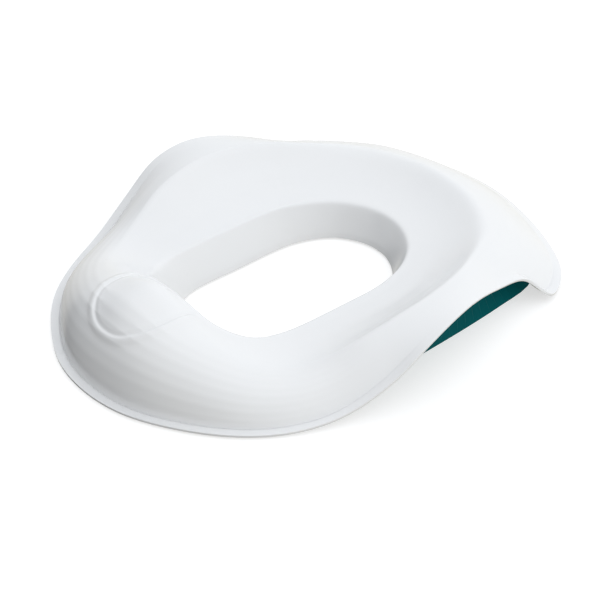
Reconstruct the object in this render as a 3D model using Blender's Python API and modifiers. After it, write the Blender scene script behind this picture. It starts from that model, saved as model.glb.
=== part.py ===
"""Toddler toilet training seat, standing on its non-slip base.

A one-piece white moulded seat with an egg-shaped opening, a raised splash guard at
the front and side wings that arch up to be lifted by, over a dark green skirt that
stands on the floor or on the toilet.

+X is the child's left-hand side, -Y the front with the splash guard, +Z up. The
origin is on the floor, under the middle of the seat.
"""
import bmesh
import bpy
import numpy as np
from mathutils import Vector
from mathutils.bvhtree import BVHTree

# Driving sizes, in metres.
SEAT_LENGTH = 0.376
SEAT_HALF_WIDTH = 0.150
RIDGE_HEIGHT = 0.0493
EDGE_LIFT = 0.0035
SHELL_WALL = 0.0018
FIT_GAP = 0.0004

# The flat lip that runs round the outside of the seat.
LIP_WIDTH = 0.0062
LIP_RISE = 0.0005
LIP_CORNER = 0.0013

# The opening and the wall that hangs down inside it.
RIM_RADIUS = 0.0050
OPENING_WALL_BOTTOM = 0.0018

# The splash guard's tongue, raised out of the front of the seat: an outline with a
# rounded front, set back from the seat's front edge and from the rim of the opening.
TONGUE_HALF_WIDTH = 0.0306
TONGUE_BACK_TAPER = 0.0023
TONGUE_FRONT_SETBACK = 0.0195
TONGUE_RIM_GAP = 0.0026
TONGUE_STEP = 0.0013
TONGUE_CROWN = 0.0040
TONGUE_OVAL_SHARE = 0.40
TONGUE_ROUNDNESS = 2.2
TONGUE_SUNK_SHARE = 0.5
TONGUE_ARC_POINTS = 18
TONGUE_SIDE_POINTS = 4
TONGUE_BACK_POINTS = 8
TONGUE_RINGS = 4
SKY = 0.5

# The green base: a skirt with a foot turned inwards and a web under the seat.
BASE_WALL = 0.0022
FOOT_WIDTH = 0.0090
BASE_MIDDLE_SHARE = 0.0384

# Stations round the right half of the seat, front to back. Each holds the outer edge,
# the ridge that the child's thighs rest inside, and the rim of the opening, as shares
# of (half width, length, ridge height), then how steep the outer wall is, how far the
# opening's wall leans in for each unit of its height, how much the surface inside the
# ridge is crowned like the splash guard and not dished, and how much of a flat lip the
# edge has.
STATION_SHARES = (
    ((0.000, -0.500, 0.000), (0.000, -0.373, 1.110), (0.000, -0.299, 1.010), (1.00, 0.54, 1.0, 1.0)),
    ((0.241, -0.486, 0.000), (0.214, -0.366, 1.050), (0.136, -0.296, 0.980), (1.00, 0.54, 1.0, 1.0)),
    ((0.472, -0.440, 0.000), (0.380, -0.334, 0.850), (0.245, -0.275, 0.765), (0.95, 0.54, 0.7, 1.0)),
    ((0.679, -0.374, 0.000), (0.532, -0.285, 0.635), (0.342, -0.232, 0.565), (0.85, 0.60, 0.2, 1.0)),
    ((0.828, -0.291, 0.006), (0.638, -0.226, 0.535), (0.395, -0.174, 0.490), (0.65, 0.57, 0.0, 1.0)),
    ((0.922, -0.198, 0.113), (0.712, -0.167, 0.610), (0.408, -0.111, 0.481), (0.35, 0.58, 0.0, 1.0)),
    ((0.984, -0.106, 0.450), (0.766, -0.099, 0.811), (0.408, -0.055, 0.481), (0.15, 0.59, 0.0, 0.8)),
    ((1.000, -0.037, 0.792), (0.785, -0.018, 0.955), (0.407, -0.008, 0.481), (0.05, 0.57, 0.0, 0.3)),
    ((0.969, 0.042, 0.943), (0.772, 0.056, 0.990), (0.405, 0.042, 0.481), (0.05, 0.55, 0.0, 0.0)),
    ((0.897, 0.128, 0.852), (0.712, 0.142, 0.955), (0.384, 0.094, 0.481), (0.05, 0.49, 0.0, 0.0)),
    ((0.811, 0.222, 0.592), (0.620, 0.211, 0.870), (0.334, 0.143, 0.481), (0.10, 0.44, 0.0, 0.0)),
    ((0.776, 0.300, 0.405), (0.533, 0.263, 0.805), (0.266, 0.180, 0.481), (0.25, 0.40, 0.0, 0.3)),
    ((0.838, 0.347, 0.050), (0.425, 0.309, 0.755), (0.198, 0.202, 0.481), (0.40, 0.40, 0.0, 0.8)),
    ((0.698, 0.422, 0.060), (0.284, 0.344, 0.735), (0.130, 0.216, 0.481), (0.25, 0.40, 0.0, 0.3)),
    ((0.380, 0.476, 0.085), (0.145, 0.363, 0.730), (0.065, 0.224, 0.481), (0.20, 0.40, 0.0, 0.1)),
    ((0.000, 0.502, 0.094), (0.000, 0.367, 0.735), (0.000, 0.226, 0.481), (0.20, 0.40, 0.0, 0.0)),
)
# Outer wall from lip to ridge, as shares of its run and its rise: the domed wall of the
# front, and the gentle slope of the wings.
STEEP_WALL_SHARES = ((0.03, 0.31), (0.14, 0.59), (0.45, 0.88))
GENTLE_WALL_SHARES = ((0.25, 0.28), (0.50, 0.56), (0.76, 0.80))
# Seat surface from ridge to opening, as shares of its run and its drop: the dish that
# is sat in, and the crown of the splash guard.
DISH_SHARES = ((0.28, 0.47), (0.62, 0.84))
CROWN_SHARES = ((0.28, -0.20), (0.62, -0.10))

# The floor line of the base, as shares of (half width, length), station by station.
FLOOR_LINE_SHARES = (
    (0.000, -0.398), (0.222, -0.384), (0.410, -0.347), (0.550, -0.292), (0.640, -0.236),
    (0.695, -0.177), (0.730, -0.108), (0.750, -0.040), (0.749, 0.038), (0.738, 0.112),
    (0.723, 0.190), (0.702, 0.265), (0.670, 0.345), (0.565, 0.400), (0.300, 0.426),
    (0.000, 0.434),
)

MATERIALS = {
    "seat_shell": ("white_polypropylene", (0.880, 0.885, 0.890, 1.0), 0.22),
    "nonslip_base": ("green_rubber", (0.0, 0.0802, 0.0844, 1.0), 0.55),
}
STATION_COUNT = 31
FLOOR_LINE_COUNT = 61
SMOOTHING_LEVELS = 1


def clear_scene():
    for item in list(bpy.data.objects):
        bpy.data.objects.remove(item, do_unlink=True)


def new_collection(name):
    collection = bpy.data.collections.new(name)
    bpy.context.scene.collection.children.link(collection)
    return collection


def new_skin(name, bm, collection):
    """Hand an open sheet over to a new object, with its highest face looking up."""
    bmesh.ops.recalc_face_normals(bm, faces=bm.faces)
    top = max(bm.faces, key=lambda face: face.calc_center_median().z)
    if top.normal.z < 0:
        bmesh.ops.reverse_faces(bm, faces=bm.faces)
    mesh = bpy.data.meshes.new(name)
    bm.to_mesh(mesh)
    bm.free()
    for face in mesh.polygons:
        face.use_smooth = True
    item = bpy.data.objects.new(name, mesh)
    collection.objects.link(item)
    return item


def add_material(item):
    name, color, roughness = MATERIALS[item.name]
    material = bpy.data.materials.new(name)
    material.use_nodes = True
    shader = material.node_tree.nodes["Principled BSDF"]
    shader.inputs["Base Color"].default_value = color
    shader.inputs["Roughness"].default_value = roughness
    shader.inputs["Metallic"].default_value = 0.0
    item.data.materials.clear()
    item.data.materials.append(material)


def seat_point(share):
    """A point of a station table, in metres."""
    x, y, z = share
    return Vector((x * SEAT_HALF_WIDTH, y * SEAT_LENGTH, EDGE_LIFT + z * RIDGE_HEIGHT))


def level_direction(start, end):
    step = Vector((end.x - start.x, end.y - start.y, 0.0))
    return step.normalized()


def along(start, end, run, rise):
    """A point between two others, with its own share of the run and of the rise."""
    x = start.x + (end.x - start.x) * run
    y = start.y + (end.y - start.y) * run
    z = start.z + (end.z - start.z) * rise
    return Vector((x, y, z))


def between(gentle, steep, share):
    """Two tables of (run, rise) blended by a share."""
    return [(g[0] + (s[0] - g[0]) * share, g[1] + (s[1] - g[1]) * share) for g, s in zip(gentle, steep)]


def opening_directions(rims):
    """At each station, the level direction from the rim into the opening."""
    directions = []
    for index, rim in enumerate(rims):
        before = rims[index - 1] if index else Vector((-rims[1].x, rims[1].y, rims[1].z))
        last = index == len(rims) - 1
        after = Vector((-rims[-2].x, rims[-2].y, rims[-2].z)) if last else rims[index + 1]
        run = after - before
        directions.append(Vector((-run.y, run.x, 0.0)).normalized())
    return directions


def smooth_rows(rows, count, x_columns):
    """Rows of numbers sampled at count places along a smooth curve through them all.

    The first and last rows lie on the seat's middle plane, so the curve goes on past
    each end as its own mirror image, with the x column turned over.
    """
    rows = np.array(rows)
    first, last = rows[1].copy(), rows[-2].copy()
    for end in (first, last):
        end[x_columns] *= -1
    rows = np.vstack([first, rows, last])
    places = np.linspace(0, len(rows) - 3, count)
    samples = []
    for place in places:
        index = min(int(place), len(rows) - 4)
        t = place - index
        before, start, end, after = rows[index:index + 4]
        # A Catmull-Rom curve, which passes through every row.
        bend = 2 * before - 5 * start + 4 * end - after
        twist = 3 * (start - end) + after - before
        samples.append(start + ((end - before) * t + bend * t**2 + twist * t**3) / 2)
    return samples


def stations():
    """The station table drawn out to STATION_COUNT stations along smooth curves."""
    rows = [edge + ridge + rim + wall for edge, ridge, rim, wall in STATION_SHARES]
    smooth = smooth_rows(rows, STATION_COUNT, [0, 3, 6])
    return [(row[0:3], row[3:6], row[6:9], row[9:13]) for row in smooth]


def station_profiles():
    """For every station, the points of its section from the lip to the opening."""
    sections = stations()
    rims = [seat_point(station[2]) for station in sections]
    inwards = opening_directions(rims)
    profiles = []
    for station, rim, inward in zip(sections, rims, inwards):
        edge, ridge = seat_point(station[0]), seat_point(station[1])
        steep, lean, crowned, flat = station[3]
        inner = level_direction(edge, ridge)
        lip = edge + inner * LIP_WIDTH + Vector((0, 0, LIP_RISE))
        foot = lip + inner * LIP_CORNER + Vector((0, 0, LIP_CORNER))
        # Where there is no flat lip, the wall's own slope runs on down to the edge.
        slope = (ridge.z - edge.z) / (ridge - edge).xy.length
        flat = min(max(flat, 0), 1)
        lip.z += (edge.z + slope * LIP_WIDTH - lip.z) * (1 - flat)
        foot.z += (edge.z + slope * (LIP_WIDTH + LIP_CORNER) - foot.z) * (1 - flat)
        profile = [edge, lip, foot]
        for run, rise in between(GENTLE_WALL_SHARES, STEEP_WALL_SHARES, steep):
            profile.append(along(foot, ridge, run, rise))
        profile.append(ridge)
        shoulder = rim - inward * RIM_RADIUS
        for run, drop in between(DISH_SHARES, CROWN_SHARES, min(max(crowned, 0), 1)):
            profile.append(along(ridge, shoulder, run, drop))
        profile.append(shoulder)
        profile.append(rim)
        height = rim.z - OPENING_WALL_BOTTOM
        bottom = rim + inward * lean * height
        bottom.z = OPENING_WALL_BOTTOM
        profile.append(rim.lerp(bottom, RIM_RADIUS / height))
        profile.append(bottom)
        profiles.append(profile)
    return profiles


RIDGE_ROW = 6
SHOULDER_ROW = 9


def extrude_strip(bm, edges, place):
    """Extrude a chain of edges and put each new vertex where place(old vertex) says."""
    olds = {vertex for edge in edges for vertex in edge.verts}
    made = bmesh.ops.extrude_edge_only(bm, edges=edges)["geom"]
    news = [item for item in made if isinstance(item, bmesh.types.BMVert)]
    for new in news:
        old = next(e.other_vert(new) for e in new.link_edges if e.other_vert(new) in olds)
        new.co = place(old)
    return [item for item in made if isinstance(item, bmesh.types.BMEdge)]


def half_cage(profiles):
    """The right half of the seat as a coarse cage, drawn row by row from the lip in."""
    bm = bmesh.new()
    station_of = bm.verts.layers.int.new("station")
    verts = []
    for index, profile in enumerate(profiles):
        vertex = bm.verts.new(profile[0])
        vertex[station_of] = index
        verts.append(vertex)
    edges = [bm.edges.new(pair) for pair in zip(verts, verts[1:])]
    for row in range(1, len(profiles[0])):
        edges = extrude_strip(bm, edges, lambda old, r=row: profiles[old[station_of]][r])
        web = RIDGE_ROW < row <= SHOULDER_ROW
        for face in {face for edge in edges for face in edge.link_faces}:
            face.material_index = 1 if web else 0
    return bm


def add_mirror_and_smoothing(item):
    mirror = item.modifiers.new("both_halves", "MIRROR")
    mirror.use_axis[0] = True
    mirror.use_clip = True
    mirror.merge_threshold = 0.0001
    smooth = item.modifiers.new("moulded_curves", "SUBSURF")
    smooth.levels = SMOOTHING_LEVELS
    smooth.render_levels = SMOOTHING_LEVELS


def add_wall(item, thickness, even=False):
    """Thicken a sheet away from the side that it shows."""
    wall = item.modifiers.new("wall", "SOLIDIFY")
    wall.thickness = thickness
    wall.offset = -1.0
    wall.use_even_offset = even


def evaluated_mesh(item):
    graph = bpy.context.evaluated_depsgraph_get()
    graph.update()
    return bpy.data.meshes.new_from_object(item.evaluated_get(graph))


def seat_surface(collection):
    """The seat's outer skin with no thickness yet, facing up."""
    item = new_skin("seat_shell", half_cage(station_profiles()), collection)
    add_mirror_and_smoothing(item)
    return item


def tongue_places():
    """The tongue's front, its back and where its rounded front starts, along Y."""
    front_edge = STATION_SHARES[0][0][1] * SEAT_LENGTH
    front = front_edge + TONGUE_FRONT_SETBACK
    rim_of_opening = STATION_SHARES[0][2][1] * SEAT_LENGTH
    back = rim_of_opening - TONGUE_RIM_GAP
    return front, back, back + (front - back) * TONGUE_OVAL_SHARE


def tongue_outline():
    """The tongue seen from above: straight back, tapered sides and a rounded front."""
    front, back, oval_start = tongue_places()
    power = 2 / TONGUE_ROUNDNESS
    points = []
    for index in range(TONGUE_ARC_POINTS + 1):
        angle = np.pi * (index / TONGUE_ARC_POINTS - 0.5)
        x = TONGUE_HALF_WIDTH * np.sign(np.sin(angle)) * abs(np.sin(angle)) ** power
        points.append((x, oval_start + (front - oval_start) * abs(np.cos(angle)) ** power))
    sides = []
    for index in range(1, TONGUE_SIDE_POINTS + 1):
        share = index / TONGUE_SIDE_POINTS
        x = TONGUE_HALF_WIDTH - TONGUE_BACK_TAPER * share ** 2
        sides.append((x, oval_start + (back - oval_start) * share))
    points += sides
    corner = sides[-1][0]
    for index in range(1, TONGUE_BACK_POINTS):
        points.append((corner * (1 - 2 * index / TONGUE_BACK_POINTS), back))
    points += [(-x, y) for x, y in reversed(sides)]
    return points


def splash_tongue(surface, cutters):
    """The raised tongue as a solid sunk half way into the shell's wall."""
    mesh = evaluated_mesh(surface)
    bm_surface = bmesh.new()
    bm_surface.from_mesh(mesh)
    tree = BVHTree.FromBMesh(bm_surface)
    outline = tongue_outline()
    front, back, oval_start = tongue_places()

    def seat_height(x, y):
        return tree.ray_cast(Vector((x, y, SKY)), Vector((0, 0, -1)))[0].z

    def drape(share, index):
        x, y = outline[index]
        x *= share
        y = oval_start + (y - oval_start) * share
        crown = TONGUE_CROWN * (1 - (x / TONGUE_HALF_WIDTH) ** 2)
        forward = max((back - y) / (back - front), 0)
        crown *= max(1 - forward ** 3, 0)
        return Vector((x, y, seat_height(x, y) + TONGUE_STEP + crown))

    bm = bmesh.new()
    number = bm.verts.layers.int.new("number")
    verts = []
    for index in range(len(outline)):
        vertex = bm.verts.new(drape(1.0, index))
        vertex[number] = index
        verts.append(vertex)
    edges = [bm.edges.new(pair) for pair in zip(verts, verts[1:] + verts[:1])]
    for ring in range(1, TONGUE_RINGS):
        share = 1.0 - ring / TONGUE_RINGS
        edges = extrude_strip(bm, edges, lambda old, s=share: drape(s, old[number]))
    middle = bmesh.ops.holes_fill(bm, edges=edges, sides=len(outline))["faces"]
    bmesh.ops.poke(bm, faces=middle)
    # The same sheet again, sunk into the wall, closes the tongue from below.
    sheet = list(bm.faces)
    made = bmesh.ops.extrude_face_region(bm, geom=sheet, use_keep_orig=True)["geom"]
    for item in made:
        if isinstance(item, bmesh.types.BMVert):
            item.co.z = seat_height(item.co.x, item.co.y) - SHELL_WALL * TONGUE_SUNK_SHARE
    bm_surface.free()
    bpy.data.meshes.remove(mesh)
    item = new_skin("tongue_solid", bm, cutters)
    item.hide_render = True
    item.display_type = "WIRE"
    return item


def seat_shell(collection, cutters):
    item = seat_surface(collection)
    tongue = splash_tongue(item, cutters)
    add_wall(item, SHELL_WALL)
    join = item.modifiers.new("splash_guard", "BOOLEAN")
    join.operation = "UNION"
    join.solver = "EXACT"
    join.object = tongue
    add_material(item)
    return item


def floor_line():
    """Bearings and distances of the base's floor line, seen from the middle."""
    rows = [(x * SEAT_HALF_WIDTH, y * SEAT_LENGTH) for x, y in FLOOR_LINE_SHARES]
    rows = np.array(smooth_rows(rows, FLOOR_LINE_COUNT, [0]))
    bearings = np.arctan2(rows[:, 0], BASE_MIDDLE_SHARE * SEAT_LENGTH - rows[:, 1])
    distances = np.hypot(rows[:, 0], rows[:, 1] - BASE_MIDDLE_SHARE * SEAT_LENGTH)
    return bearings, distances


def nonslip_base(collection):
    """A skirt from the floor up to a web that lies close under the seat."""
    skin = seat_surface(collection)
    mesh = evaluated_mesh(skin)
    bpy.data.objects.remove(skin, do_unlink=True)
    bm = bmesh.new()
    bm.from_mesh(mesh)
    bpy.data.meshes.remove(mesh)
    bm.normal_update()
    for vertex in bm.verts:
        vertex.co -= vertex.normal * (SHELL_WALL + FIT_GAP)
    others = [face for face in bm.faces if face.material_index == 0]
    bmesh.ops.delete(bm, geom=others, context="FACES")
    middle = Vector((0.0, BASE_MIDDLE_SHARE * SEAT_LENGTH, 0.0))
    outer = []
    for edge in bm.edges:
        if edge.is_boundary:
            out_there = (edge.verts[0].co + edge.verts[1].co) / 2 - middle
            face = edge.link_faces[0].calc_center_median() - middle
            if out_there.xy.length > face.xy.length:
                outer.append(edge)
    bearings, distances = floor_line()

    def to_floor(old):
        away = old.co - middle
        bearing = np.arctan2(abs(away.x), -away.y)
        distance = np.interp(bearing, bearings, distances)
        return middle + Vector((away.x, away.y, 0.0)).normalized() * distance

    def foot_edge(old):
        return old.co - (old.co - middle).normalized() * FOOT_WIDTH

    edges = extrude_strip(bm, outer, to_floor)
    extrude_strip(bm, edges, foot_edge)
    item = new_skin("nonslip_base", bm, collection)
    add_material(item)
    for face in item.data.polygons:
        face.material_index = 0
    add_wall(item, BASE_WALL, even=True)
    return item


def main():
    clear_scene()
    parts = new_collection("toilet_training_seat")
    cutters = new_collection("cutters")
    seat_shell(parts, cutters)
    nonslip_base(parts)


main()
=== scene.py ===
"""Looks of a toddler's toilet training seat: a glossy white shell over a dark green base.

-Y is the front with the splash guard, +X the right as seen from the front, and +Z up. The
seat's sizes are in millimetres, and are turned into metres where a mesh is made. The stage
and the camera are in metres.
"""

import math

import bmesh
import bpy
import numpy as np
from mathutils import Matrix, Vector
from mathutils.bvhtree import BVHTree


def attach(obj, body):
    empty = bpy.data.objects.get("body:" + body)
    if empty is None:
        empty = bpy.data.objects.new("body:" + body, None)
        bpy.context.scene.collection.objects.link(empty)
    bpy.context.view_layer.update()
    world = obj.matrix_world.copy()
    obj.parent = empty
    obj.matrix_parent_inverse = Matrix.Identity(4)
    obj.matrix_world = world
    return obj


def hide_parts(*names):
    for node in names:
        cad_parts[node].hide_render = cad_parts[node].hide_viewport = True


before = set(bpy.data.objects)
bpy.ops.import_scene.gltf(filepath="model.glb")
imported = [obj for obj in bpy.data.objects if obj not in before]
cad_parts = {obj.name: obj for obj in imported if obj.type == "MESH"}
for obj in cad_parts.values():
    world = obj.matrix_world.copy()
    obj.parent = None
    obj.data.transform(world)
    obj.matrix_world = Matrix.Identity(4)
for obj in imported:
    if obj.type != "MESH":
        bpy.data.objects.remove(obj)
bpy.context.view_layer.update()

MM = 0.001

# Main sizes of the seat, as the solid model has them. The edge lift is the height of the
# outer edge's lowest stretch over the floor.
SEAT_LENGTH = 376.0
SEAT_HALF_WIDTH = 150.0
RIDGE_HEIGHT = 49.3
EDGE_LIFT = 3.5
SHELL_WALL = 1.8
RIM_RADIUS = 5.0
OPENING_WALL_BOTTOM = 1.8

# The flat lip round the outside, and the fine groove where the outer wall stands up from it.
LIP_WIDTH = 6.2
LIP_RISE = 0.5
LIP_GROOVE = 0.4
LIP_CREASE = 1.0

# Stations round the right half of the seat, front to back: outer edge, ridge and rim of the
# opening as shares of (half width, length, ridge height), then how steep the outer wall is,
# how far the opening's wall leans in for its height, how crisp the ridge is, how much the
# surface inside the ridge is crowned like the splash guard and not dished, and how much of
# a flat lip there is at the edge.
STATIONS = (
    ((0.000, -0.500, 0.000), (0.000, -0.373, 1.110), (0.000, -0.299, 1.010), (1.00, 0.54, 0.0, 1.0, 1.0)),
    ((0.241, -0.486, 0.000), (0.214, -0.366, 1.050), (0.136, -0.296, 0.980), (1.00, 0.54, 0.0, 1.0, 1.0)),
    ((0.472, -0.440, 0.000), (0.380, -0.334, 0.850), (0.245, -0.275, 0.765), (0.95, 0.54, 0.0, 0.7, 1.0)),
    ((0.679, -0.374, 0.000), (0.532, -0.285, 0.635), (0.342, -0.232, 0.565), (0.85, 0.60, 0.0, 0.2, 1.0)),
    ((0.828, -0.291, 0.006), (0.638, -0.226, 0.535), (0.395, -0.174, 0.490), (0.65, 0.57, 0.6, 0.0, 1.0)),
    ((0.922, -0.198, 0.113), (0.712, -0.167, 0.610), (0.408, -0.111, 0.481), (0.35, 0.58, 0.9, 0.0, 1.0)),
    ((0.984, -0.106, 0.450), (0.766, -0.099, 0.811), (0.408, -0.055, 0.481), (0.15, 0.59, 0.95, 0.0, 0.8)),
    ((1.000, -0.037, 0.792), (0.785, -0.018, 0.955), (0.407, -0.008, 0.481), (0.05, 0.57, 0.8, 0.0, 0.3)),
    ((0.969, 0.042, 0.943), (0.772, 0.056, 0.990), (0.405, 0.042, 0.481), (0.05, 0.55, 0.8, 0.0, 0.0)),
    ((0.897, 0.128, 0.852), (0.712, 0.142, 0.955), (0.384, 0.094, 0.481), (0.05, 0.49, 0.6, 0.0, 0.0)),
    ((0.811, 0.222, 0.592), (0.620, 0.211, 0.870), (0.334, 0.143, 0.481), (0.10, 0.44, 0.3, 0.0, 0.0)),
    ((0.776, 0.300, 0.405), (0.533, 0.263, 0.805), (0.266, 0.180, 0.481), (0.25, 0.40, 0.2, 0.0, 0.3)),
    ((0.838, 0.347, 0.050), (0.425, 0.309, 0.755), (0.198, 0.202, 0.481), (0.40, 0.40, 0.1, 0.0, 0.8)),
    ((0.698, 0.422, 0.060), (0.284, 0.344, 0.735), (0.130, 0.216, 0.481), (0.25, 0.40, 0.1, 0.0, 0.3)),
    ((0.380, 0.476, 0.085), (0.145, 0.363, 0.730), (0.065, 0.224, 0.481), (0.20, 0.40, 0.1, 0.0, 0.1)),
    ((0.000, 0.502, 0.094), (0.000, 0.367, 0.735), (0.000, 0.226, 0.481), (0.20, 0.40, 0.1, 0.0, 0.0)),
)
# The columns that change sign where the curves run on past the seat's middle.
X_COLUMNS = [0, 3, 6]
STATION_COUNT = 46

# Outer wall from lip to ridge, as shares of its run and its rise.
GENTLE_WALL = (
    (0.125, 0.14), (0.25, 0.28), (0.375, 0.42), (0.50, 0.56), (0.625, 0.68), (0.75, 0.79), (0.875, 0.90),
)
# The steep wall of the front is a dome: a quarter of a slightly squared ellipse.
DOME_POWER = 2.15
DOME_ANGLES = [math.pi / 2 * step / (len(GENTLE_WALL) + 1) for step in range(1, len(GENTLE_WALL) + 1)]
STEEP_WALL = [(1 - math.cos(a) ** (2 / DOME_POWER), math.sin(a) ** (2 / DOME_POWER)) for a in DOME_ANGLES]
# Surface from ridge to opening, as shares of its run and its drop.
DISH = ((0.28, 0.47), (0.62, 0.84))
CROWN = ((0.28, -0.20), (0.62, -0.10))

# Rows of the cage, counted inwards from the outer edge as row 0.
LIP_ROWS = (1, 2)
RIDGE_ROW = LIP_ROWS[-1] + len(GENTLE_WALL) + 1
# How often the cage is smoothed: for the shell itself, and for the skin that guides the tongue.
SHELL_LEVELS = 2
GUIDE_LEVELS = 4
MERGE_DISTANCE = 0.1

# The shell's cut edges are rounded where they turn by more than this many degrees.
EDGE_SOFTNESS = 0.7
EDGE_SEGMENTS = 3
EDGE_ANGLE = 55

# The splash guard's tongue, raised out of the shell inside a fine moulded line.
TONGUE_HALF_WIDTH = 30.8
TONGUE_MIDDLE_Y = -136.6
TONGUE_FRONT_Y = -168.4
TONGUE_BACK_Y = -109.6
TONGUE_BACK_TAPER = 3.6
TONGUE_POWER = 2.2
TONGUE_LINE_POINTS = 90
TONGUE_CROWN = 4.7
TONGUE_RAISE = 0.5
# The raise begins and is whole at these distances inside the outline.
RAISE_START = 0.3
RAISE_END = 4.0
# The bead lies outside the outline, but for its last bit. Its flank falls to the tongue, and
# its tail runs out on the wall.
BEAD_HEIGHT = 1.0
BEAD_FLANK = 2.2
BEAD_TAIL = 6.0
BEAD_END = 0.5
# Tongue and bead fade out from before the opening's rim to just past the tongue's back.
FADE_BEFORE_BACK = 14.0
FADE_PAST_BACK = 2.0
# Faces nearer to the outline than this are cut finer, once for each distance.
FINE_REACHES = (8.0, 4.5)
# The part of the skin where edges are cut, and the part where vertices are moved.
CUT_BACK_Y = -102.0
CUT_HALF_WIDTH = 42.0
MOVE_PAST_BACK = 8.0
MOVE_PAST_SIDE = 12.0
GUARD_LOWEST = 30.0
RAY_START = 200.0

# White polypropylene: its shades, its range of roughness, and the sizes of its patterns.
WHITE_SHADES = ("E3E4E5", "E6E6E6")
WHITE_ROUGHNESS = (0.18, 0.30)
FLOW_SIZE = 60.0
WAVE_SIZE = 4.0
WAVE_DEPTH = 0.4
SCATTER_DEPTH = 2.0

# Green rubber: its shades and the sizes of its patterns.
GREEN_SHADES = ("004C50", "00575B")
CLOUD_SIZE = 25.0
GRAIN_SIZE = 1.2
GRAIN_DEPTH = 0.2

# The floor, in metres, and the paper on it, which glows a little.
FLOOR_HALF_SIDE = 6.0
PAPER_SHADE = "C4C4C4"
PAPER_GLOW = 0.55

# Brightness of the light tent low down and high up, blended over this much height to each
# side of the horizon, and the least that a dark patch leaves.
TENT_LOW = 0.80
TENT_HIGH = 0.925
TENT_BLEND = 0.4
TENT_DARKEST = 0.02
# The tent's patches: azimuth from the front towards +X and elevation, in degrees, cosine at
# the patch's edge, and brightness added.
TENT_PATCHES = (
    (314, -12, 0.64, -1.85),
    (178, 40, -0.10, 0.30),
    (85, 45, 0.50, 0.25),
    (345, -45, 0.15, -0.70),
)
# The tent is warmer low down and cooler high up.
TENT_WARM = (1.0, 0.975, 0.90, 1.0)
TENT_COOL = (0.95, 0.972, 1.0, 1.0)
TINT_BLEND = 0.5

# The photograph's view: from the front right, 36 degrees down, through a long lens. The
# angles are in degrees, the aim and the distance in metres.
CAMERA_AZIMUTH = 50.4
CAMERA_ELEVATION = 36.2
CAMERA_AIM = Vector((0.0132, -0.00927, 0.0035))
CAMERA_DISTANCE = 1.860
SENSOR_WIDTH = 36.0
LENS_LENGTH = 157.56


def clamp(value, low=0.0, high=1.0):
    return max(low, min(high, value))


def smooth_step(low, high, value):
    t = clamp((value - low) / (high - low))
    return t * t * (3 - 2 * t)


# Geometry of the shell


def seat_point(share):
    x, y, z = share
    return Vector((x * SEAT_HALF_WIDTH, y * SEAT_LENGTH, EDGE_LIFT + z * RIDGE_HEIGHT))


def level_direction(start, end):
    return Vector((end.x - start.x, end.y - start.y, 0.0)).normalized()


def along(start, end, run, rise):
    level = start.lerp(end, run)
    return Vector((level.x, level.y, start.z + (end.z - start.z) * rise))


def between(gentle, steep, share):
    """Two tables of (run, rise) blended by a share."""
    return [(g[0] + (s[0] - g[0]) * share, g[1] + (s[1] - g[1]) * share) for g, s in zip(gentle, steep)]


def smooth_rows(rows, count):
    """The station table sampled at count places along Catmull-Rom curves through its rows."""
    rows = np.array(rows)
    first, last = rows[1].copy(), rows[-2].copy()
    for end in (first, last):
        end[X_COLUMNS] *= -1
    rows = np.vstack([first, rows, last])
    samples = []
    for place in np.linspace(0, len(rows) - 3, count):
        index = min(int(place), len(rows) - 4)
        t = place - index
        before, start, end, after = rows[index:index + 4]
        bend = 2 * before - 5 * start + 4 * end - after
        twist = 3 * (start - end) + after - before
        samples.append(start + ((end - before) * t + bend * t**2 + twist * t**3) / 2)
    return samples


def opening_directions(rims):
    """At each station, the level direction from the rim into the opening."""
    directions = []
    for index, rim in enumerate(rims):
        before = rims[index - 1] if index else Vector((-rims[1].x, rims[1].y, rims[1].z))
        last = index == len(rims) - 1
        after = Vector((-rims[-2].x, rims[-2].y, rims[-2].z)) if last else rims[index + 1]
        run = after - before
        directions.append(Vector((-run.y, run.x, 0.0)).normalized())
    return directions


def lip_points(edge, ridge, flat):
    """The lip's inner edge and the foot of the wall, on a straight slope where no lip is flat."""
    inner = level_direction(edge, ridge)
    lip = edge + inner * LIP_WIDTH + Vector((0, 0, LIP_RISE))
    foot = lip + inner * LIP_GROOVE - Vector((0, 0, LIP_GROOVE))
    slope = (ridge.z - edge.z) / (ridge - edge).xy.length
    lip.z += (edge.z + slope * LIP_WIDTH - lip.z) * (1 - flat)
    foot.z += (edge.z + slope * (LIP_WIDTH + LIP_GROOVE) - foot.z) * (1 - flat)
    return lip, foot


def shell_sections():
    """For every station, its section from lip to opening and how crisp its ridge and lip are."""
    table = smooth_rows([edge + ridge + rim + rest for edge, ridge, rim, rest in STATIONS], STATION_COUNT)
    rims = [seat_point(row[6:9]) for row in table]
    sections, ridge_creases, lip_creases = [], [], []
    for row, rim, inward in zip(table, rims, opening_directions(rims)):
        edge, ridge = seat_point(row[0:3]), seat_point(row[3:6])
        steep, lean, crisp, crowned, flat = row[9:14]
        flat = clamp(flat)
        lip, foot = lip_points(edge, ridge, flat)
        points = [edge, lip, foot]
        points += [along(foot, ridge, *share) for share in between(GENTLE_WALL, STEEP_WALL, steep)]
        points.append(ridge)
        shoulder = rim - inward * RIM_RADIUS
        points += [along(ridge, shoulder, *share) for share in between(DISH, CROWN, clamp(crowned))]
        points += [shoulder, rim]
        height = rim.z - OPENING_WALL_BOTTOM
        bottom = rim + inward * lean * height
        bottom.z = OPENING_WALL_BOTTOM
        points += [rim.lerp(bottom, RIM_RADIUS / height), bottom]
        sections.append(points)
        ridge_creases.append(clamp(crisp))
        lip_creases.append(flat * LIP_CREASE)
    creases = {RIDGE_ROW: ridge_creases}
    creases.update({row: lip_creases for row in LIP_ROWS})
    return sections, creases


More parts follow.
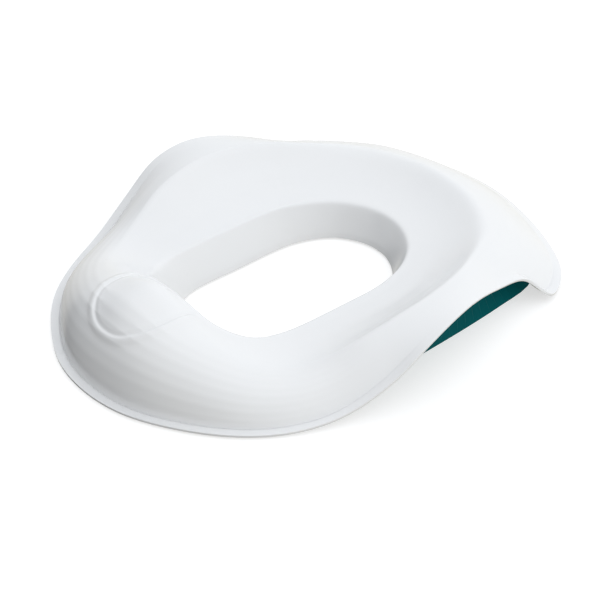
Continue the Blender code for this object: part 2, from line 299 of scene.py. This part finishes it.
def extrude_row(bm, edges, place):
    """Extrude a chain of edges and put each new vertex where place(old vertex) says."""
    olds = {vertex for edge in edges for vertex in edge.verts}
    made = bmesh.ops.extrude_edge_only(bm, edges=edges)["geom"]
    for new in (item for item in made if isinstance(item, bmesh.types.BMVert)):
        old = next(e.other_vert(new) for e in new.link_edges if e.other_vert(new) in olds)
        new.co = place(old)
    return [item for item in made if isinstance(item, bmesh.types.BMEdge)]


def shell_cage():
    """The right half of the shell's skin as a coarse cage, extruded from the lip inwards."""
    sections, creases = shell_sections()
    bm = bmesh.new()
    station = bm.verts.layers.int.new("station")
    crease = bm.edges.layers.float.new("crease_edge")
    chain = []
    for index, section in enumerate(sections):
        vertex = bm.verts.new(section[0])
        vertex[station] = index
        chain.append(vertex)
    edges = [bm.edges.new(pair) for pair in zip(chain, chain[1:])]
    for row in range(1, len(sections[0])):
        edges = extrude_row(bm, edges, lambda old, r=row: sections[old[station]][r])
        for edge in edges:
            runs_along = len({v[station] for v in edge.verts}) == 2
            if runs_along and row in creases:
                edge[crease] = min(creases[row][v[station]] for v in edge.verts)
    bmesh.ops.recalc_face_normals(bm, faces=bm.faces)
    if max(bm.faces, key=lambda face: face.calc_center_median().z).normal.z < 0:
        bmesh.ops.reverse_faces(bm, faces=bm.faces)
    bmesh.ops.scale(bm, vec=(MM, MM, MM), verts=bm.verts)
    return bm


def smooth_skin(cage, levels):
    """The cage mirrored and smoothed, as a bmesh of the whole open skin."""
    mesh = bpy.data.meshes.new("skin")
    cage.to_mesh(mesh)
    item = bpy.data.objects.new("skin", mesh)
    bpy.context.scene.collection.objects.link(item)
    mirror = item.modifiers.new("both_halves", "MIRROR")
    mirror.use_clip = True
    mirror.merge_threshold = MERGE_DISTANCE * MM
    smooth = item.modifiers.new("moulded_curves", "SUBSURF")
    smooth.levels = smooth.render_levels = levels
    graph = bpy.context.evaluated_depsgraph_get()
    skin = bmesh.new()
    skin.from_mesh(item.evaluated_get(graph).to_mesh())
    bpy.data.objects.remove(item)
    bpy.data.meshes.remove(mesh)
    return skin


def tongue_half_width(y):
    if y < TONGUE_MIDDLE_Y:
        t = clamp((TONGUE_MIDDLE_Y - y) / (TONGUE_MIDDLE_Y - TONGUE_FRONT_Y))
        return TONGUE_HALF_WIDTH * (1 - t**TONGUE_POWER) ** (1 / TONGUE_POWER)
    t = (y - TONGUE_MIDDLE_Y) / (TONGUE_BACK_Y - TONGUE_MIDDLE_Y)
    return TONGUE_HALF_WIDTH - TONGUE_BACK_TAPER * t * t


def tongue_line(tree):
    """Points of the tongue's outline on the skin, from the right rim round to the left one."""
    half = []
    for share in np.linspace(0, 1, TONGUE_LINE_POINTS):
        # Even steps of angle round the front, where the outline turns.
        y = TONGUE_FRONT_Y + (TONGUE_BACK_Y - TONGUE_FRONT_Y) * (1 - math.cos(share * math.pi / 2))
        above = Vector((tongue_half_width(y) * MM, y * MM, RAY_START * MM))
        half.append(tree.ray_cast(above, Vector((0, 0, -1)))[0])
    left = [Vector((-p.x, p.y, p.z)) for p in half[1:]]
    return half[::-1] + left


def distance_to_line(point, line):
    best = 1.0
    for start, end in zip(line, line[1:]):
        run = end - start
        t = clamp((point - start).dot(run) / max(run.length_squared, 1e-12))
        best = min(best, (point - start - run * t).length)
    return best


def tongue_height(depth, y):
    """How far the surface is lifted at a depth inside the tongue's outline, or outside it if negative."""
    height = TONGUE_RAISE * smooth_step(RAISE_START, RAISE_END, depth)
    height += TONGUE_CROWN * smooth_step(0.0, TONGUE_HALF_WIDTH, depth)
    height += BEAD_HEIGHT * (1 - smooth_step(BEAD_END - BEAD_FLANK, BEAD_END, depth))
    height -= BEAD_HEIGHT * (1 - smooth_step(-BEAD_FLANK - BEAD_TAIL, -BEAD_FLANK, depth))
    fade = 1 - smooth_step(TONGUE_BACK_Y - FADE_BEFORE_BACK, TONGUE_BACK_Y + FADE_PAST_BACK, y)
    return height * fade


def cut_finer(skin, line):
    """Cut the faces near the tongue's outline finer, so that the bead has faces to lie on."""
    for reach in FINE_REACHES:
        band = []
        for edge in skin.edges:
            middle = (edge.verts[0].co + edge.verts[1].co) / 2
            across = abs(middle.x) < CUT_HALF_WIDTH * MM
            if middle.y < CUT_BACK_Y * MM and across and middle.z > GUARD_LOWEST * MM:
                if distance_to_line(middle, line) < reach * MM:
                    band.append(edge)
        bmesh.ops.subdivide_edges(skin, edges=band, cuts=1, use_grid_fill=True)
    skin.normal_update()


def raise_tongue(skin, guide):
    """Raise the tongue and its bead out of the skin, whose vertices first settle on the guide."""
    tree = BVHTree.FromBMesh(guide)
    line = tongue_line(tree)
    cut_finer(skin, line)
    moves = []
    for vertex in skin.verts:
        x, y, z = vertex.co / MM
        beyond = y > TONGUE_BACK_Y + MOVE_PAST_BACK or abs(x) > TONGUE_HALF_WIDTH + MOVE_PAST_SIDE
        if beyond or z < GUARD_LOWEST:
            continue
        place = tree.find_nearest(vertex.co)[0]
        away = distance_to_line(vertex.co, line) / MM
        inside = TONGUE_FRONT_Y < y and abs(x) < tongue_half_width(min(y, TONGUE_BACK_Y))
        moves.append((vertex, place, tongue_height(away if inside else -away, y)))
    for vertex, place, height in moves:
        vertex.co = place + vertex.normal * height * MM


def finished_piece(name, bm, material, node):
    """Hand a bmesh over to a new object that rides on the seat and stands for a CAD node."""
    mesh = bpy.data.meshes.new(name)
    bm.to_mesh(mesh)
    bm.free()
    for face in mesh.polygons:
        face.use_smooth = True
    item = bpy.data.objects.new(name, mesh)
    bpy.context.scene.collection.objects.link(item)
    item.data.materials.append(material)
    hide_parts(node)
    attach(item, "root")
    return item


def moulded_shell(material):
    """The one-piece shell: skin, tongue, wall and softened edges."""
    cage = shell_cage()
    guide = smooth_skin(cage, GUIDE_LEVELS)
    skin = smooth_skin(cage, SHELL_LEVELS)
    cage.free()
    raise_tongue(skin, guide)
    guide.free()
    shell = finished_piece("moulded_shell", skin, material, "seat_shell")
    wall = shell.modifiers.new("wall", "SOLIDIFY")
    wall.thickness = SHELL_WALL * MM
    wall.offset = -1.0
    edges = shell.modifiers.new("soft_edges", "BEVEL")
    edges.width = EDGE_SOFTNESS * MM
    edges.segments = EDGE_SEGMENTS
    edges.limit_method = "ANGLE"
    edges.angle_limit = math.radians(EDGE_ANGLE)


def dressed_base(material):
    """The base keeps the shape of its CAD node and only gets its material."""
    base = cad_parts["nonslip_base"]
    base.data.materials.clear()
    base.data.materials.append(material)


# Materials


def linear(hex_color):
    """An sRGB hex colour as linear red, green, blue and alpha."""
    channels = [int(hex_color[i:i + 2], 16) / 255 for i in (0, 2, 4)]
    return [c / 12.92 if c <= 0.04045 else ((c + 0.055) / 1.055) ** 2.4 for c in channels] + [1.0]


def input_of(made, key):
    """A node's input by its number, as in i6, or by its name with underscores for spaces."""
    if key[0] == "i" and key[1:].isdigit():
        return made.inputs[int(key[1:])]
    return made.inputs[key.replace("_", " ")]


def node(tree, kind, settings=None, **inputs):
    """Add a node with its settings and its inputs, each a value or another node's output."""
    made = tree.nodes.new(kind)
    for key, value in (settings or {}).items():
        setattr(made, key, value)
    for key, value in inputs.items():
        if isinstance(value, bpy.types.NodeSocket):
            tree.links.new(value, input_of(made, key))
        else:
            input_of(made, key).default_value = value
    return made


MIX_COLORS = {"data_type": "RGBA"}
SMOOTH = {"interpolation_type": "SMOOTHSTEP"}


def new_material(name):
    material = bpy.data.materials.new(name)
    material.use_nodes = True
    material.node_tree.nodes.clear()
    return material, material.node_tree


def moulded_polypropylene():
    """White polypropylene, injection moulded in a polished mould: a soft gloss over faint scatter."""
    material, tree = new_material("moulded_white_polypropylene")
    place = node(tree, "ShaderNodeTexCoord").outputs["Object"]
    # Slow changes of shine where the melt flowed.
    flow = node(
        tree, "ShaderNodeTexNoise", Vector=place, Scale=1 / (FLOW_SIZE * MM), Detail=2.0,
    ).outputs["Fac"]
    low, high = WHITE_ROUGHNESS
    shine = node(tree, "ShaderNodeMapRange", Value=flow, i1=0.0, i2=1.0, i3=low, i4=high).outputs[0]
    first, second = (linear(shade) for shade in WHITE_SHADES)
    tint = node(tree, "ShaderNodeMix", MIX_COLORS, i0=flow, i6=first, i7=second).outputs[2]
    # The very slight waviness of a moulded gloss surface.
    waves = node(
        tree, "ShaderNodeTexNoise", Vector=place, Scale=1 / (WAVE_SIZE * MM), Detail=1.0,
    ).outputs["Fac"]
    bump = node(tree, "ShaderNodeBump", Height=waves, Strength=0.02, Distance=WAVE_DEPTH * MM).outputs[0]
    shader = node(
        tree, "ShaderNodeBsdfPrincipled", Base_Color=tint, Roughness=shine, IOR=1.49, Normal=bump,
        Subsurface_Weight=0.08, Subsurface_Radius=(0.8, 0.8, 0.8), Subsurface_Scale=SCATTER_DEPTH * MM,
    )
    node(tree, "ShaderNodeOutputMaterial", Surface=shader.outputs[0])
    return material


def green_rubber():
    """Dark green thermoplastic rubber, moulded with a dull skin that mirrors almost nothing."""
    material, tree = new_material("moulded_green_rubber")
    place = node(tree, "ShaderNodeTexCoord").outputs["Object"]
    grain = node(
        tree, "ShaderNodeTexNoise", Vector=place, Scale=1 / (GRAIN_SIZE * MM), Detail=2.0,
    ).outputs["Fac"]
    cloud = node(
        tree, "ShaderNodeTexNoise", Vector=place, Scale=1 / (CLOUD_SIZE * MM), Detail=2.0,
    ).outputs["Fac"]
    first, second = (linear(shade) for shade in GREEN_SHADES)
    tint = node(tree, "ShaderNodeMix", MIX_COLORS, i0=cloud, i6=first, i7=second).outputs[2]
    bump = node(tree, "ShaderNodeBump", Height=grain, Strength=0.15, Distance=GRAIN_DEPTH * MM).outputs[0]
    shader = node(
        tree, "ShaderNodeBsdfPrincipled", Base_Color=tint, Roughness=0.5, IOR=1.5,
        Specular_IOR_Level=0.02, Normal=bump,
    )
    node(tree, "ShaderNodeOutputMaterial", Surface=shader.outputs[0])
    return material


def white_paper():
    """Matt white paper, with a glow that stands for a brightly lit backdrop."""
    material, tree = new_material("white_paper")
    shader = node(
        tree, "ShaderNodeBsdfPrincipled", Base_Color=linear(PAPER_SHADE), Roughness=0.9,
        Emission_Color=(1.0, 1.0, 1.0, 1.0), Emission_Strength=PAPER_GLOW,
    )
    node(tree, "ShaderNodeOutputMaterial", Surface=shader.outputs[0])
    return material


# Stage, light and camera


def direction(azimuth, elevation):
    """The way to a place at an azimuth from the front towards +X and an elevation, in degrees."""
    a, e = math.radians(azimuth), math.radians(elevation)
    return Vector((math.sin(a) * math.cos(e), -math.cos(a) * math.cos(e), math.sin(e)))


def studio_floor(material):
    """A white floor that the camera sees and that takes shadows, but leaves the seat's light alone."""
    bm = bmesh.new()
    bmesh.ops.create_grid(bm, x_segments=1, y_segments=1, size=FLOOR_HALF_SIDE)
    mesh = bpy.data.meshes.new("white_floor")
    bm.to_mesh(mesh)
    bm.free()
    mesh.materials.append(material)
    floor = bpy.data.objects.new("white_floor", mesh)
    bpy.context.scene.collection.objects.link(floor)
    floor.visible_diffuse = floor.visible_glossy = floor.visible_shadow = False


def studio_light():
    """A bright tent: brighter behind the seat, with a dark opening towards the front left."""
    world = bpy.data.worlds.new("light_tent")
    bpy.context.scene.world = world
    world.use_nodes = True
    tree = world.node_tree
    tree.nodes.clear()
    way = node(tree, "ShaderNodeTexCoord").outputs["Generated"]
    height = node(tree, "ShaderNodeSeparateXYZ", i0=way).outputs["Z"]
    level = node(
        tree, "ShaderNodeMapRange", SMOOTH, Value=height, i1=-TENT_BLEND, i2=TENT_BLEND,
        i3=TENT_LOW, i4=TENT_HIGH,
    ).outputs[0]
    for azimuth, elevation, start, strength in TENT_PATCHES:
        toward = node(
            tree, "ShaderNodeVectorMath", {"operation": "DOT_PRODUCT"}, i0=way,
            i1=direction(azimuth, elevation),
        ).outputs["Value"]
        patch = node(
            tree, "ShaderNodeMapRange", SMOOTH, Value=toward, i1=start, i2=1.0, i3=0.0, i4=strength,
        ).outputs[0]
        level = node(tree, "ShaderNodeMath", {"operation": "ADD"}, i0=level, i1=patch).outputs[0]
    level = node(tree, "ShaderNodeMath", {"operation": "MAXIMUM"}, i0=level, i1=TENT_DARKEST).outputs[0]
    blue = node(
        tree, "ShaderNodeMapRange", SMOOTH, Value=height, i1=-TINT_BLEND, i2=TINT_BLEND,
    ).outputs[0]
    tint = node(tree, "ShaderNodeMix", MIX_COLORS, i0=blue, i6=TENT_WARM, i7=TENT_COOL).outputs[2]
    glow = node(tree, "ShaderNodeBackground", Color=tint, Strength=level)
    node(tree, "ShaderNodeOutputWorld", Surface=glow.outputs[0])


def add_camera():
    """The camera of the photograph's view, level and turned to its aim."""
    back = direction(CAMERA_AZIMUTH, CAMERA_ELEVATION)
    azimuth = math.radians(CAMERA_AZIMUTH)
    right = Vector((math.cos(azimuth), math.sin(azimuth), 0.0))
    turn = Matrix((right, back.cross(right), back)).transposed().to_4x4()
    data = bpy.data.cameras.new("photo_camera")
    data.sensor_width = SENSOR_WIDTH
    data.lens = LENS_LENGTH
    camera = bpy.data.objects.new("photo_camera", data)
    camera.matrix_world = Matrix.Translation(CAMERA_AIM + back * CAMERA_DISTANCE) @ turn
    bpy.context.scene.collection.objects.link(camera)
    bpy.context.scene.camera = camera


moulded_shell(moulded_polypropylene())
dressed_base(green_rubber())
studio_floor(white_paper())
studio_light()
add_camera()
bpy.context.scene.view_settings.view_transform = "Standard"
